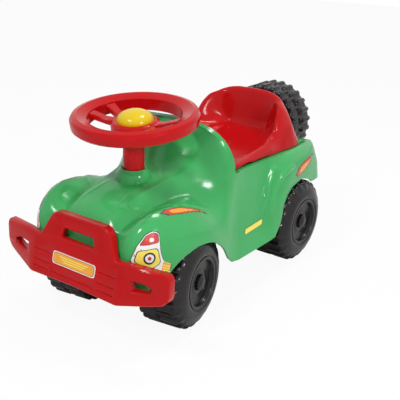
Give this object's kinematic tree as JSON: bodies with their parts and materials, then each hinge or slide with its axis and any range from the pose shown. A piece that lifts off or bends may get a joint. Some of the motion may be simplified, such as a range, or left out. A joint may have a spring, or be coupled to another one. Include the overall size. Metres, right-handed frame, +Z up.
{
  "type": "toddler ride-on car",
  "caption": "Push-along toddler car: open-bottomed moulded body, steered front axle, tilting wheel with horn button, lift-up seat over a storage tub, slotted bumper and spare wheel.",
  "frame": {"origin": "middle of the footprint at floor level", "axes": "+Z up; -Y is the car's front, +Y its rear; +X its left side"},
  "size_m": [0.3104, 0.6085, 0.3198],
  "materials": {
    "body_green": "glossy",
    "trim_red": "glossy",
    "button_yellow": "glossy",
    "wheel_black": "satin",
    "plain_steel": "satin",
    "nylon_white": "matte",
    "bellows_rubber": "matte"
  },
  "bodies": {
    "car": {"body_shell": "body_green", "bumper": "trim_red", "bumper_screw_left": "plain_steel", "bumper_screw_right": "plain_steel", "rear_axle_carrier": "wheel_black", "rear_carrier_screw_1": "plain_steel", "rear_carrier_screw_2": "plain_steel", "rear_carrier_screw_3": "plain_steel", "rear_carrier_screw_4": "plain_steel", "rear_axle": "plain_steel", "washer_rear_left": "plain_steel", "washer_rear_right": "plain_steel", "push_nut_rear_left": "plain_steel", "push_nut_rear_right": "plain_steel", "seat_hinge_pin_left": "plain_steel", "seat_hinge_pin_right": "plain_steel", "spare_bracket": "body_green", "spare_bolt": "wheel_black", "spare_nut": "plain_steel", "bracket_screw_upper": "plain_steel", "bracket_screw_lower": "plain_steel"},
    "steering": {"steering_column": "trim_red", "column_pin": "plain_steel", "steering_wheel": "trim_red", "steering_wheel_screw": "plain_steel", "horn_bellows": "bellows_rubber", "thrust_washer": "nylon_white", "front_axle_carrier": "wheel_black", "front_axle": "plain_steel", "washer_front_left": "plain_steel", "washer_front_right": "plain_steel", "push_nut_front_left": "plain_steel", "push_nut_front_right": "plain_steel"},
    "seat_lid": {"seat": "trim_red"},
    "horn": {"horn_button": "button_yellow"},
    "spare": {"spare_wheel": "wheel_black"},
    "front_left_wheel": {"wheel_front_left": "wheel_black", "axle_cap_front_left": "wheel_black"},
    "front_right_wheel": {"wheel_front_right": "wheel_black", "axle_cap_front_right": "wheel_black"},
    "rear_left_wheel": {"wheel_rear_left": "wheel_black", "axle_cap_rear_left": "wheel_black"},
    "rear_right_wheel": {"wheel_rear_right": "wheel_black", "axle_cap_rear_right": "wheel_black"}
  },
  "joints": [
    {"name": "steering_turn", "type": "hinge", "parent": "car", "child": "steering", "pos_m": [0, -0.1675, 0.15], "axis": [0, 0, 1], "range_deg": [-26, 10]},
    {"name": "seat_flip", "type": "hinge", "parent": "car", "child": "seat_lid", "pos_m": [0, -0.0465, 0.2045], "axis": [1, 0, 0], "range_deg": [0, 94]},
    {"name": "horn_push", "type": "slide", "parent": "steering", "child": "horn", "axis": [-0.0145, 0.1035, -0.9945], "range_m": [0, 0.004], "stiffness_N_per_m": 600, "springref_m": -0.0005, "deforming": ["horn_bellows"]},
    {"name": "spare_spin", "type": "hinge", "parent": "car", "child": "spare", "pos_m": [-0.026, 0.2635, 0.207], "axis": [0, 1, 0], "continuous": true},
    {"name": "front_left_roll", "type": "hinge", "parent": "steering", "child": "front_left_wheel", "pos_m": [0.08303, -0.16189, 0.072], "axis": [0.9903, 0.1392, 0], "continuous": true},
    {"name": "rear_left_roll", "type": "hinge", "parent": "car", "child": "rear_left_wheel", "pos_m": [0.083, 0.1465, 0.072], "axis": [1, 0, 0], "continuous": true},
    {"name": "front_right_roll", "type": "hinge", "parent": "steering", "child": "front_right_wheel", "pos_m": [-0.08136, -0.18499, 0.072], "axis": [0.9903, 0.1392, 0], "continuous": true},
    {"name": "rear_right_roll", "type": "hinge", "parent": "car", "child": "rear_right_wheel", "pos_m": [-0.083, 0.1465, 0.072], "axis": [1, 0, 0], "continuous": true}
  ]
}
